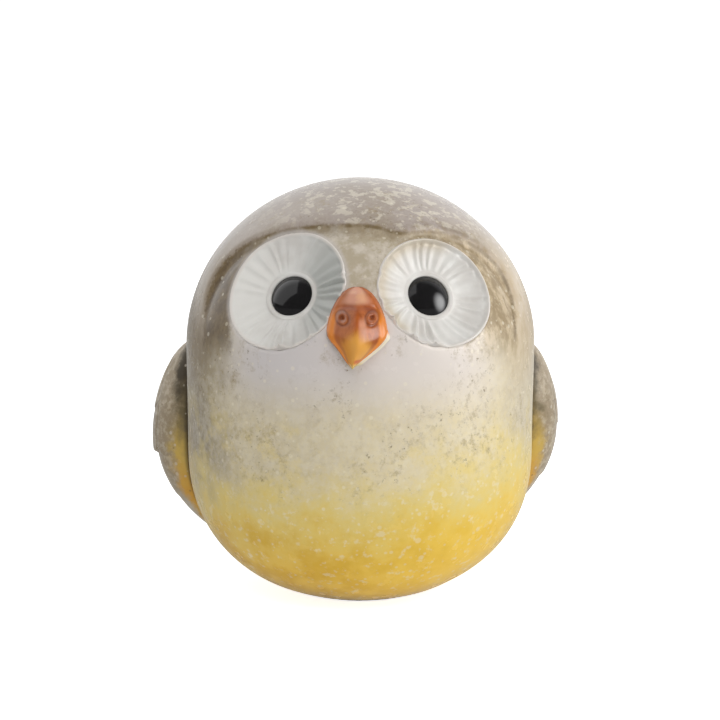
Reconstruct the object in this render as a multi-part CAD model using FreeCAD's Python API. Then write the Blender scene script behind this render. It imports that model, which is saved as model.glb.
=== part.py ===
import FreeCAD, Part
import math
import os

from FreeCAD import Placement, Rotation, Vector

# Round ceramic owl figurine. Millimetres, +Z up, the owl faces -Y, and left is the owl's own left (+X).
# The origin is the centre of the felt pad's underside, where the figurine stands.

HEIGHT = 120.0
BODY_R = 50.3            # radius of the straight band round the middle
DOME_Z = 72.3            # the dome, half of an ellipse, starts here
BELLY_Z = 42.5           # the belly, half of a superellipse, ends here
BELLY_DEPTH = 44.6
BELLY_POWER = 2.3
WALL = 5.0
FELT_R = 20.0
FELT_THICK = 1.0
FOOT_Z = FELT_THICK      # the foot stands on the felt
VENT_R = 4.0

HOOD_DROP = 1.8          # how far the face lies below the hood, measured straight down
HOOD_HALF_WIDTH = 43.2
HOOD_TOP_Z = 109.3
HOOD_POWER = 2.5         # of the superellipse that arches over the face
HOOD_END_Z = 79.0        # the step fades out here, at the cheeks
HOOD_BACK_Y = -16.0

DISC_R = 17.2            # feather disc round each eye
DISC_CENTRE = (20.5, -36.8, 92.2)
DISC_TURN = 28.8         # the disc looks this far to its side
DISC_TILT = 27.6         # and this far up
DISC_BACK = 9.0          # from the rim's plane to the disc's back
DISC_PROUD = 0.4         # the rim stands this far out of the body's skin
DISC_LIP = 0.8
DISH_DEPTH = 5.9
DISC_GAP = 0.1

EYE_R = 6.1
EYE_DOME = 2.4           # height of the glossy dome over its ring
EYE_PEG = 1.8
EYE_GAP = 0.05
EYE_RING_R = 7.8
EYE_RING_DEPTH = 4.4     # from the rim's plane down to the ring round the eye

ROOT_DEPTH = 1.5         # beak, wings and tail are lofted from middles this deep under the skin
LOBE_POWER = 0.65        # below 1, wings and tail keep their thickness nearer to their ends

BEAK_TOP_Z = 94.6
BEAK_TIP_Z = 72.4
BEAK_HALF_WIDTH = 8.2
BEAK_REACH = 6.8
BEAK_TIP_REACH = 0.5
NOSTRIL_R = 1.3
NOSTRIL_SPREAD = 4.0
NOSTRIL_REACH = 4.5
NOSTRIL_Z = 86.5

WING_TOP_Z = 73.0
WING_TIP_Z = 12.0
WING_REACH = 12.0
WING_HALF_WIDTH = 15.0
WING_LEFT_AZIMUTHS = (108.0, 119.0)       # of the shoulder and of the tip, from the beak's direction
WING_RIGHT_AZIMUTHS = (-105.0, -105.0)

TAIL_TOP_Z = 36.0
TAIL_TIP_Z = 7.0
TAIL_REACH = 11.0
TAIL_HALF_WIDTH = 12.0

DOME_HEIGHT = HEIGHT - DOME_Z


def skin_radius(z):
    """Radius of the body's skin at height z."""
    if z > DOME_Z:
        return BODY_R * math.sqrt(1 - ((z - DOME_Z) / DOME_HEIGHT) ** 2)
    if z < BELLY_Z:
        drop = (BELLY_Z - z) / BELLY_DEPTH
        return BODY_R * (1 - drop ** BELLY_POWER) ** (1 / BELLY_POWER)
    return BODY_R


def quarter_curve(start, height, power, end_z):
    """Spline along a quarter superellipse, from the straight band to its pole or to a flat floor."""
    steps = 16
    share = abs(end_z - start.z) / abs(height)
    end_angle = math.asin(share ** (power / 2))
    points = []
    for i in range(steps + 1):
        angle = end_angle * i / steps
        out = start.x * math.cos(angle) ** (2 / power)
        along = height * math.sin(angle) ** (2 / power)
        points.append(Vector(out, start.y, start.z + along))
    curve = Part.BSplineCurve()
    curve.interpolate(Points=points)
    return curve.toShape()


def body_solid(inset, floor_z):
    """Solid of revolution inside the skin, inset from it all round and cut flat at the floor."""
    shoulder = Vector(BODY_R - inset, 0, DOME_Z)
    hip = Vector(BODY_R - inset, 0, BELLY_Z)
    pole_z = HEIGHT - inset
    dome = quarter_curve(shoulder, pole_z - DOME_Z, 2.0, pole_z)
    band = Part.makeLine(shoulder, hip)
    belly = quarter_curve(hip, inset - BELLY_DEPTH, BELLY_POWER, floor_z)
    floor_edge = belly.Vertexes[-1].Point
    floor = Part.makeLine(floor_edge, Vector(0, 0, floor_z))
    axis = Part.makeLine(Vector(0, 0, floor_z), dome.Vertexes[-1].Point)
    face = Part.Face(Part.Wire([dome, band, belly, floor, axis]))
    return face.revolve(Vector(0, 0, 0), Vector(0, 0, 1), 360)


def disc_placement(side):
    """Local frame of an eye disc: Z out of the rim's plane, X towards +X, origin at the rim's centre."""
    turn = math.radians(side * DISC_TURN)
    tilt = math.radians(DISC_TILT)
    outward = Vector(math.sin(turn) * math.cos(tilt), -math.cos(turn) * math.cos(tilt), math.sin(tilt))
    across = Vector(math.cos(turn), math.sin(turn), 0)
    centre = Vector(side * DISC_CENTRE[0], DISC_CENTRE[1], DISC_CENTRE[2])
    return Placement(centre, Rotation(across, outward.cross(across), outward, "ZXY"))


def disc_cylinder(side, radius, low, high):
    """Cylinder along an eye disc's normal, between two heights over the rim's plane."""
    cylinder = Part.makeCylinder(radius, high - low, Vector(0, 0, low))
    cylinder.Placement = disc_placement(side)
    return cylinder


def disc_sphere(side, radius, bottom=None, top=None):
    """Sphere on an eye disc's normal, placed by its lowest or its highest point over the rim's plane."""
    centre_z = bottom + radius if top is None else top - radius
    sphere = Part.makeSphere(radius)
    sphere.Placement = disc_placement(side).multiply(Placement(Vector(0, 0, centre_z), Rotation()))
    return sphere


def cap_radius(base_radius, height):
    """Radius of the sphere whose cap has this base radius and height."""
    return (base_radius ** 2 + height ** 2) / (2 * height)


def face_recess():
    """What the hood step removes: the skin's top layer, inside an arched outline seen from the front."""
    side = Vector(HOOD_HALF_WIDTH, HOOD_BACK_Y, HOOD_END_Z)
    right_half = quarter_curve(side, HOOD_TOP_Z - HOOD_END_Z, HOOD_POWER, HOOD_TOP_Z)
    left_half = right_half.mirror(Vector(0, 0, 0), Vector(1, 0, 0))
    bottom = Part.makeLine(Vector(-side.x, side.y, side.z), side)
    outline = Part.Face(Part.Wire(Part.__sortEdges__([right_half, left_half, bottom])))
    mask = outline.extrude(Vector(0, -2 * BODY_R, 0))
    lowered_skin = body_solid(0, FOOT_Z)
    lowered_skin.translate(Vector(0, 0, -HOOD_DROP))
    return mask.cut(lowered_skin)


def body_shell(skin):
    cavity = body_solid(WALL, FOOT_Z + WALL)
    boss_depth = DISC_BACK + WALL / 2
    for side in (-1, 1):
        cavity = cavity.cut(disc_cylinder(side, DISC_R + WALL / 2, -boss_depth, BODY_R))
    shell = skin.cut(cavity)
    shell = shell.cut(Part.makeCylinder(VENT_R, 2 * WALL, Vector(0, 0, 0)))
    shell = shell.cut(face_recess())
    for side in (-1, 1):
        shell = shell.cut(disc_cylinder(side, DISC_R + DISC_GAP, -DISC_BACK, BODY_R))
    return shell


def eye_disc(side, proud_skin):
    """Feather disc: a plug under the skin, dished, with a raised ring and a pocket for the eye."""
    plug = disc_cylinder(side, DISC_R, -DISC_BACK, BODY_R / 2).common(proud_skin)
    bowl_r = DISC_R - DISC_LIP
    bowl = disc_sphere(side, cap_radius(bowl_r, DISH_DEPTH), bottom=-DISH_DEPTH)
    rim_cut = disc_cylinder(side, bowl_r, 0, BODY_R / 2)
    ring = disc_cylinder(side, EYE_RING_R, -DISC_BACK, -EYE_RING_DEPTH)
    pocket = disc_cylinder(side, EYE_R + EYE_GAP, -EYE_RING_DEPTH - EYE_PEG, 0)
    return plug.cut(bowl).cut(rim_cut).fuse(ring).cut(pocket)


def eye(side):
    """Glossy dome on a short peg."""
    peg = disc_cylinder(side, EYE_R, -EYE_RING_DEPTH - EYE_PEG, -EYE_RING_DEPTH)
    ball = disc_sphere(side, cap_radius(EYE_R, EYE_DOME), top=EYE_DOME - EYE_RING_DEPTH)
    dome = disc_cylinder(side, EYE_R, -EYE_RING_DEPTH, 0).common(ball)
    return peg.fuse(dome).removeSplitter()


def oval(centre, across, out):
    """Closed wire round a centre, with two perpendicular half-axes given as vectors."""
    corners = 16
    points = []
    for i in range(corners):
        angle = 2 * math.pi * i / corners
        points.append(centre + across * math.cos(angle) + out * math.sin(angle))
    curve = Part.BSplineCurve()
    curve.interpolate(Points=points, PeriodicFlag=True)
    return Part.Wire([curve.toShape()])


def skin_frame(azimuth, z):
    """Point on the skin, with the directions across and out of it, at an azimuth from the beak's."""
    angle = math.radians(azimuth)
    out = Vector(math.sin(angle), -math.cos(angle), 0)
    across = Vector(math.cos(angle), math.sin(angle), 0)
    return out * skin_radius(z) + Vector(0, 0, z), across, out


def lobe(azimuths, top_z, tip_z, half_width, reach, skin):
    """Plump leaf on the body's skin: a loft of ovals from its top down to its tip, cut back to the skin."""
    sections = 9
    wires = []
    for i in range(sections + 1):
        share = i / sections
        z = top_z + (tip_z - top_z) * share
        on_skin, across, out = skin_frame(azimuths[0] + (azimuths[1] - azimuths[0]) * share, z)
        centre = on_skin - out * ROOT_DEPTH
        if 0 < i < sections:
            fullness = math.sin(math.pi * share) ** LOBE_POWER
            width = half_width * math.sqrt(fullness)
            wires.append(oval(centre, across * width, out * (reach * fullness + ROOT_DEPTH)))
        else:
            wires.append(Part.Vertex(centre))
    return Part.makeLoft(wires, True, False).cut(skin)


def beak(skin, discs):
    """Kite-shaped beak: ovals that widen from the cere, then narrow to the tip."""
    sections = 7
    wires = []
    for i in range(sections + 1):
        share = i / sections
        z = BEAK_TOP_Z + (BEAK_TIP_Z - BEAK_TOP_Z) * share
        on_skin, across, out = skin_frame(0, z)
        centre = on_skin - out * ROOT_DEPTH
        width = BEAK_HALF_WIDTH * math.sin(math.pi * share ** 1.2) ** 0.7
        reach = BEAK_REACH * math.sin(math.pi * share / 1.4)
        if i == 0:
            wires.append(Part.Vertex(centre))
        elif i < sections:
            wires.append(oval(centre, across * width, out * (reach + ROOT_DEPTH)))
        else:
            wires.append(Part.Vertex(on_skin + out * BEAK_TIP_REACH))
    solid = Part.makeLoft(wires, True, False)
    on_skin, across, out = skin_frame(0, NOSTRIL_Z)
    for side in (-1, 1):
        nostril = on_skin + across * side * NOSTRIL_SPREAD + out * NOSTRIL_REACH
        solid = solid.cut(Part.makeSphere(NOSTRIL_R, nostril))
    for neighbour in [skin] + discs:
        solid = solid.cut(neighbour)
    return solid


def felt_base():
    return Part.makeCylinder(FELT_R, FELT_THICK)


def main():
    skin = body_solid(0, FOOT_Z)
    proud_skin = body_solid(-DISC_PROUD, FOOT_Z)
    disc_left = eye_disc(1, proud_skin)
    disc_right = eye_disc(-1, proud_skin)
    wing_size = (WING_TOP_Z, WING_TIP_Z, WING_HALF_WIDTH, WING_REACH, skin)
    parts = {
        "body_shell": body_shell(skin),
        "eye_disc_left": disc_left,
        "eye_disc_right": disc_right,
        "eye_left": eye(1),
        "eye_right": eye(-1),
        "beak": beak(skin, [disc_left, disc_right]),
        "wing_left": lobe(WING_LEFT_AZIMUTHS, *wing_size),
        "wing_right": lobe(WING_RIGHT_AZIMUTHS, *wing_size),
        "tail": lobe((180.0, 180.0), TAIL_TOP_Z, TAIL_TIP_Z, TAIL_HALF_WIDTH, TAIL_REACH, skin),
        "felt_base": felt_base(),
    }
    os.makedirs("parts", exist_ok=True)
    for name, shape in parts.items():
        shape.exportStep(f"parts/{name}.step")


main()
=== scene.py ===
import math

import bpy
import numpy as np
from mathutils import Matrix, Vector


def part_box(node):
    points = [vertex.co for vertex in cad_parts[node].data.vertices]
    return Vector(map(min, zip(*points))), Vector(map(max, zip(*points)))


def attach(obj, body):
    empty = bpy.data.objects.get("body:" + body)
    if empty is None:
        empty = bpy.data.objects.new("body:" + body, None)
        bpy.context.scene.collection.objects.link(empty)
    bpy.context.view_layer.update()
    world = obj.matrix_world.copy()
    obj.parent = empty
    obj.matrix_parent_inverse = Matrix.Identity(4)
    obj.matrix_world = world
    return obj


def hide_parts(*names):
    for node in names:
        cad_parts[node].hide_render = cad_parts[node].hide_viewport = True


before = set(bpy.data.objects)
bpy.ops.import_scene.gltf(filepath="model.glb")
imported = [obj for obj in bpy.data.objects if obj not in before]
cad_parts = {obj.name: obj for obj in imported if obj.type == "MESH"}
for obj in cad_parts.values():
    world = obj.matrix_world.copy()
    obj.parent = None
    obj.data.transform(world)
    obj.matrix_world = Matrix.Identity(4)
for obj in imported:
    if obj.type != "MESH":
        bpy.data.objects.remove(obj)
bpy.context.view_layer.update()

# Metres, +Z up. The owl faces -Y and left is its own left (+X).
# Azimuths count from the beak's direction towards +X.

MM = 0.001
LEFT = 1  # a side is the sign of its X
RIGHT = -1
SIDES = {"left": LEFT, "right": RIGHT}

# Body, as in the CAD shell: a half-ellipse dome, a straight band and a belly cut flat at the foot.
shell_low, shell_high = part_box("body_shell")
BODY_R = shell_high.x
TOP_Z = shell_high.z
FOOT_Z = shell_low.z
DOME_Z = 72.3 * MM
BELLY_Z = 42.5 * MM
BELLY_DEPTH = 44.6 * MM
BELLY_POWER = 2.3  # of the superellipse
WALL = 5.0 * MM
VENT_R = 4.0 * MM
VENT_BEVEL = 0.6 * MM
FLAT_RINGS_R = (21.5 * MM, 15.0 * MM)  # rings of points across the flat foot
FOOT_BLEND = 4.0 * MM  # relief fades out this close to the foot
UNEVENNESS = 0.1 * MM
CROWN_BLEND = 20.0 * MM  # unevenness fades out this close to the pole
BODY_ROWS = 205
BODY_COLUMNS = 380
INNER_ROWS = 30

# Hood: its edge is a superellipse arch seen from the front, and the face lies lower inside it.
HOOD_HALF_WIDTH = 43.2 * MM
HOOD_END_Z = 79.0 * MM
HOOD_RISE = 30.3 * MM
HOOD_POWER = 2.5
HOOD_DIP = 1.7 * MM  # the brow sags a little towards the left eye
HOOD_DIP_X = 11.5 * MM
HOOD_DIP_WIDTH = 6.0 * MM
HOOD_DROP = 1.5 * MM  # from the hood down to the face
STEP_START = 1.6 * MM  # the step starts this far outside the edge
STEP_WIDTH = 2.0 * MM
GROOVE_DEPTH = 0.3 * MM  # of the groove inside the edge
GROOVE_INSIDE = 0.3 * MM
GROOVE_WIDTH = 0.9 * MM
ROLL_HEIGHT = 0.15 * MM  # of the rolled rim outside the edge
ROLL_OUTSIDE = 3.2 * MM
ROLL_WIDTH = 1.8 * MM
HOOD_FADE_Z = 76.0 * MM  # the step is gone here and full a fade's width above
HOOD_FADE = 20.0 * MM
BROW_SCALE = 10.0 * MM  # distance from the edge at which the brow mask is full

# Feather discs: deep bowls set in the face, and the eyes at their middles.
DISC_R = 17.2 * MM
DISC_CENTRE = np.array([20.5, -36.8, 92.2]) * MM
DISC_TURN = math.radians(28.8)
DISC_TILT = math.radians(27.6)
# Half-width, half-height and upward shift of each disc's outline.
DISC_OUTLINE = {LEFT: (17.2 * MM, 15.9 * MM, -0.5 * MM), RIGHT: (17.6 * MM, 17.4 * MM, 0.3 * MM)}
DISC_LIP = {LEFT: 0.3 * MM, RIGHT: 0.05 * MM}  # the rim stands this far over the skin
DISC_COLUMNS = 520
FEATHER_RINGS = 62
FEATHERS = 28
BARB = 0.25 * MM  # relief of the feathers' barbs, and of the finer ones between them
FINE_BARB = 0.05 * MM
RIM_LOBE = 0.065  # depth of the lobes, as a share of the disc's radius
SINK_SLOPE = 3.0 * MM  # the skin dips behind a disc over this width
SINK_OUTER = 10.5 * MM  # depth of that dip, outside and inside the wall
SINK_INNER = 8.5 * MM
SINK_SPARE = 2.5 * MM  # the dip inside the wall is wider by this much
HALO = 1.4 * MM  # width of the pale line round the right disc
EYE_R = 5.85 * MM
EYE_TURN = math.radians(21)
EYE_TILT = math.radians(31)
EYE_BASE = -4.4 * MM
EYE_DOME = 2.1 * MM
EYE_PEG = 1.1 * MM
COLLAR = 1.4 * MM  # width and height of the smooth ring round the eye
COLLAR_HEIGHT = 0.35 * MM

# Beak, between the discs. Shares count down its length from 0 at the top to 1 at the tip.
BEAK_TOP_Z = 94.0 * MM
BEAK_TIP_Z = 73.2 * MM
BEAK_X = -0.8 * MM
BEAK_HALF_WIDTH = 8.1 * MM
BEAK_WIDEST_SHARE = 0.57
BEAK_REACH = 7.0 * MM
BEAK_TIP_SHIFT = -1.2 * MM  # the tip bends this far to the owl's right
BEAK_FACE_Z = 80.0 * MM  # above this the beak follows the lower face under the hood
BEAK_FACE_FADE = 12.0 * MM
CERE_SHARE = 0.22  # where the groove under the cere lies
CERE_SWELL = 0.25 * MM
CERE_GROOVE = 0.3 * MM
NOSTRIL_SHARE = 0.36
NOSTRIL_X = 3.9 * MM

# Wings and tail: lobes on the skin, with tiers of feathers.
WING_TOP_Z = 72.0 * MM
WING_TIP_Z = 12.5 * MM
WING_REACH = 12.0 * MM
WING_HALF_WIDTH = 15.0 * MM
WING_AZIMUTHS = {"left": (108, 119), "right": (-105, -105)}  # of the shoulder and of the tip, in degrees
TAIL_TOP_Z = 36.0 * MM
TAIL_TIP_Z = 7.0 * MM
TAIL_REACH = 11.0 * MM
TAIL_HALF_WIDTH = 12.0 * MM
TAIL_AZIMUTHS = (180, 180)

# Rows of feathers: where the row ends down the lobe, how many feathers, and the step below them.
WING_TIERS = {
    "left": ((0.45, 5, 0.3 * MM), (0.71, 4, 1.4 * MM), (0.99, 4, 0.0)),
    "right": ((0.35, 4, 0.3 * MM), (0.565, 5, 1.4 * MM), (0.78, 4, 0.8 * MM), (1.0, 4, 0.0)),
}
TAIL_TIERS = ((0.55, 3, 0.8 * MM), (0.95, 3, 0.0))
SCALLOP = 0.05  # depth of the rounded tips, as a share of the lobe's length
QUILL = 0.15 * MM  # ridge down each feather
CREASE_DEPTH = 0.45 * MM  # between neighbouring feathers


# ---- shape helpers

def smooth(x):
    """0 below 0, 1 above 1, with a soft step between."""
    x = np.clip(x, 0, 1)
    return x * x * (3 - 2 * x)


def bump(x, width):
    """Soft bump of height 1 at x = 0."""
    return np.exp(-(x / width) ** 2)


def spread(low, high, count, density):
    """Positions from low to high, closer together where density is greater."""
    fine = np.linspace(low, high, 4000)
    total = np.cumsum(density(fine))
    total -= total[0]
    return np.interp(np.linspace(0, total[-1], count), total, fine)


def full_turn(count):
    """Angles of evenly spaced points round a circle."""
    return np.linspace(0, 2 * math.pi, count + 1)[:-1]


def skin_radius(z):
    """Radius of the body's smooth skin at height z."""
    dome = np.sqrt(np.clip(1 - ((z - DOME_Z) / (TOP_Z - DOME_Z)) ** 2, 0, 1))
    drop = np.clip((BELLY_Z - z) / BELLY_DEPTH, 0, 1)
    belly = (1 - drop ** BELLY_POWER) ** (1 / BELLY_POWER)
    return BODY_R * np.where(z > DOME_Z, dome, belly)


def round_the_body(radius, azimuth, z):
    """Points at a distance from the body's axis."""
    return np.stack([radius * np.sin(azimuth), -radius * np.cos(azimuth), z + 0 * azimuth], axis=-1)


def add_object(name, data):
    """New object in the scene."""
    item = bpy.data.objects.new(name, data)
    bpy.context.scene.collection.objects.link(item)
    return item


def loft(name, rings, masks, look, node):
    """Closed mesh through rings of points with a pole at each end; it stands for a CAD node.

    A mask gives each point of each ring a value that the material reads.
    """
    rows, columns, _ = rings.shape
    poles = rings[[0, -1]].mean(axis=1)
    points = np.vstack([poles[:1], rings.reshape(-1, 3), poles[1:]])
    index = 1 + np.arange(rows * columns).reshape(rows, columns)
    after = np.roll(index, -1, axis=1)
    quads = np.stack([index[:-1], after[:-1], after[1:], index[1:]], axis=-1).reshape(-1, 4)
    last = len(points) - 1
    top = np.stack([0 * index[0], after[0], index[0]], axis=-1)
    end = np.stack([0 * index[-1] + last, index[-1], after[-1]], axis=-1)
    corner = points[np.vstack([quads[:, :3], quads[:, [0, 2, 3]], top, end])]
    volume = np.einsum("ij,ij->", corner[:, 0], np.cross(corner[:, 1], corner[:, 2]))
    faces = quads.tolist() + top.tolist() + end.tolist()
    if volume < 0:
        faces = [face[::-1] for face in faces]
    mesh = bpy.data.meshes.new(name)
    mesh.from_pydata(points.tolist(), [], faces)
    for key, mask in masks.items():
        values = np.broadcast_to(mask, (rows, columns))
        flat = np.concatenate([[values[0].mean()], values.ravel(), [values[-1].mean()]])
        mesh.attributes.new(key, "FLOAT", "POINT").data.foreach_set("value", flat.astype(np.float32))
    mesh.shade_smooth()
    mesh.materials.append(look)
    piece = add_object(name, mesh)
    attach(piece, "root")
    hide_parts(node)


# ---- frames of the eye discs

def facing(turn, tilt):
    """Across (towards +X), up and outward directions of something that faces this way."""
    outward = np.array([math.sin(turn) * math.cos(tilt), -math.cos(turn) * math.cos(tilt), math.sin(tilt)])
    across = np.array([math.cos(turn), math.sin(turn), 0.0])
    return across, np.cross(outward, across), outward


def disc_axes(side):
    """A disc's directions and the middle of its rim's plane."""
    return *facing(side * DISC_TURN, DISC_TILT), DISC_CENTRE * [side, 1, 1]


def eye_axes(side):
    """An eye's directions, and the point where it stands at the bottom of the disc."""
    _, _, outward, centre = disc_axes(side)
    return *facing(side * EYE_TURN, EYE_TILT), centre + EYE_BASE * outward


def place_in(axes, across_by, up_by, out_by):
    """Points given along three directions from a centre."""
    across, up, outward, centre = axes
    return centre + across_by[..., None] * across + up_by[..., None] * up + out_by[..., None] * outward


def circle(axes, radius, height, phi):
    """Points round the outward direction, at a height along it."""
    return place_in(axes, radius * np.cos(phi), radius * np.sin(phi), height + 0 * phi)


def disc_local(side, points):
    """Points in a disc's own frame: across, up, out."""
    across, up, outward, centre = disc_axes(side)
    away = points - centre
    return away @ across, away @ up, away @ outward


def skin_over_disc(side, across_by, up_by):
    """How far the face's skin lies over a disc's rim plane, found by halving an interval."""
    reach = 15 * MM
    halvings = 30
    low = np.full(across_by.shape, -reach)
    high = np.full(across_by.shape, reach)
    for _ in range(halvings):
        middle = (low + high) / 2
        p = place_in(disc_axes(side), across_by, up_by, middle)
        outside = np.hypot(p[..., 0], p[..., 1]) > skin_radius(p[..., 2])
        high = np.where(outside, middle, high)
        low = np.where(outside, low, middle)
    return low + face_relief(place_in(disc_axes(side), across_by, up_by, low))


# ---- body

def inside_hood(points):
    """How far a point of the skin lies inside the hood's edge, seen from the front; negative outside."""
    x = np.abs(points[..., 0])
    rise = np.maximum(points[..., 2] - HOOD_END_Z, 0)
    reach = np.hypot(x, rise)
    top = HOOD_RISE - HOOD_DIP * bump(points[..., 0] - HOOD_DIP_X, HOOD_DIP_WIDTH)
    share = ((x / HOOD_HALF_WIDTH) ** HOOD_POWER + (rise / top) ** HOOD_POWER) ** (1 / HOOD_POWER)
    inside = reach * (1 / np.maximum(share, 0.01) - 1)
    return np.where(points[..., 1] < 0, inside, -BODY_R)


def face_relief(points):
    """Height of the face and the hood's rolled edge over the smooth skin; it fades out down the cheeks."""
    inside = inside_hood(points)
    step = -HOOD_DROP * smooth((inside + STEP_START) / STEP_WIDTH)
    groove = -GROOVE_DEPTH * bump(inside - GROOVE_INSIDE, GROOVE_WIDTH)
    roll = ROLL_HEIGHT * bump(inside + ROLL_OUTSIDE, ROLL_WIDTH)
    strength = smooth((points[..., 2] - HOOD_FADE_Z) / HOOD_FADE)
    return (step + groove + roll) * strength


def hand_made(points):
    """Slow unevenness of a hand-finished casting."""
    azimuth = np.arctan2(points[..., 0], -points[..., 1])
    z = points[..., 2] / TOP_Z
    waves = np.sin(3 * azimuth + 5 * z + 1) + np.sin(5 * azimuth - 9 * z) + np.sin(2 * azimuth + 14 * z + 2)
    return UNEVENNESS * waves * smooth((TOP_Z - points[..., 2]) / CROWN_BLEND)


def past_disc(side, points):
    """How far points of the skin lie outside a disc's outline; the body's far side lies far outside."""
    half_across, half_up, sag = DISC_OUTLINE[side]
    across_by, up_by, out_by = disc_local(side, points)
    off_centre = np.hypot(across_by / half_across, (up_by - sag) / half_up)
    near_side = out_by > -20 * MM
    return np.where(near_side, (off_centre - 1) * DISC_R, BODY_R)


def disc_sink(points, grow, depth):
    """Moves points of the skin down behind the two discs."""
    moved = points.copy()
    for side in (RIGHT, LEFT):
        share = smooth((grow - past_disc(side, points)) / SINK_SLOPE)
        moved -= (depth * share)[..., None] * disc_axes(side)[2]
    return moved


def profile(rows, inset, floor_z):
    """Radius, height and outward normal down the body, from near the pole to the floor's edge."""
    angle = np.linspace(0, math.pi / 2, 1000)
    dome_r = (BODY_R - inset) * np.sin(angle)
    dome_z = DOME_Z + (TOP_Z - DOME_Z - inset) * np.cos(angle)
    depth = BELLY_DEPTH - inset
    end = math.asin(((BELLY_Z - floor_z) / depth) ** (BELLY_POWER / 2))
    angle = np.linspace(0, end, 1000)
    belly_r = (BODY_R - inset) * np.cos(angle) ** (2 / BELLY_POWER)
    belly_z = BELLY_Z - depth * np.sin(angle) ** (2 / BELLY_POWER)
    r = np.concatenate([dome_r, belly_r])
    z = np.concatenate([dome_z, belly_z])
    along = np.concatenate([[0], np.cumsum(np.hypot(np.diff(r), np.diff(z)))])
    face_end = 0.45 * along[-1]
    at = spread(0, along[-1], rows + 1, lambda s: 1 + 1.2 * smooth((face_end - s) / (10 * MM)))[1:]
    step = 0.2 * MM
    slope_r = np.interp(at + step, along, r) - np.interp(at - step, along, r)
    slope_z = np.interp(at + step, along, z) - np.interp(at - step, along, z)
    length = np.hypot(slope_r, slope_z)
    return np.interp(at, along, r), np.interp(at, along, z), -slope_z / length, slope_r / length


def body_mesh(look):
    """Outer skin, flat foot, vent and inner skin, with the points closest together on the face."""
    face_half_angle = 1.25
    azimuth = spread(-math.pi, math.pi, BODY_COLUMNS + 1,
                     lambda a: 1 + 1.2 * smooth((face_half_angle - np.abs(a)) / 0.3))[:-1]
    r, z, normal_r, normal_z = profile(BODY_ROWS, 0, FOOT_Z)
    outer = round_the_body(r[:, None], azimuth, z[:, None])
    normal = round_the_body(normal_r[:, None], azimuth, normal_z[:, None])
    height = face_relief(outer) + hand_made(outer)
    above_foot = smooth((outer[..., 2] - FOOT_Z) / FOOT_BLEND)
    outer = outer + (height * above_foot)[..., None] * normal
    brow = np.clip(inside_hood(outer) / BROW_SCALE, -1, 1)
    halo = 1 - smooth(past_disc(RIGHT, outer) / HALO)
    outer = disc_sink(outer, 0, SINK_OUTER)

    foot_r = np.array([*FLAT_RINGS_R, VENT_R + VENT_BEVEL, VENT_R])
    foot_z = FOOT_Z + np.array([0, 0, 0, VENT_BEVEL])
    foot = round_the_body(foot_r[:, None], azimuth, foot_z[:, None])
    vent_top = round_the_body(np.array([[VENT_R]]), azimuth, np.array([[FOOT_Z + WALL]]))
    inner_r, inner_z, _, _ = profile(INNER_ROWS, WALL, FOOT_Z + WALL)
    inner = round_the_body(inner_r[:, None], azimuth, inner_z[:, None])
    inner = disc_sink(inner, SINK_SPARE, SINK_INNER)[::-1]
    rings = np.concatenate([outer, foot, vent_top, inner])
    unseen = np.full((len(rings) - len(outer), len(azimuth)), -1.0)
    masks = {"brow": np.vstack([brow, unseen]), "halo": np.vstack([halo, unseen])}
    loft("body", rings, masks, look, "body_shell")


# ---- eye discs and eyes

def feather_relief(share, phi, unruly, tips, side):
    """Heights of the rim's edge and of the barbs over the bowl, a share of the way from eye to rim."""
    swirl = 0.12 * share ** 2 * np.sin(phi + 0.6) + 0.012 * np.sin(6 * share + 5 * phi)
    across_feather = (phi + 0.05 * unruly + swirl) * FEATHERS
    faded = 0.8 * smooth((share - 0.84) / 0.12) * (1 - tips)
    strength = smooth((share - 0.04) / 0.4) * (1 + tips) * (1 - faded)
    barb = BARB * np.cos(across_feather) + FINE_BARB * np.cos(1.5 * across_feather + unruly)
    edge = (0.25 + 0.15 * side) * MM * (bump(share - 0.95, 0.035) - 0.5 * bump(share - 0.86, 0.04))
    return edge * (1 - tips), barb * strength * (0.85 + 0.2 * unruly)


def collar_rings(eye, phi):
    """The pocket that the eye stands in and the smooth collar round it, from the middle outwards."""
    places = (
        (2.0 * MM, -1.2 * MM),
        (EYE_R + 0.05 * MM, -1.2 * MM),
        (EYE_R + 0.02 * MM, 0.1 * MM),
        (EYE_R + 0.25 * MM, 0.3 * MM),
        (EYE_R + 0.7 * MM, 0.33 * MM),
        (EYE_R + 1.1 * MM, 0.33 * MM),
    )
    return [circle(eye, radius, height, phi) for radius, height in places]


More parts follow.
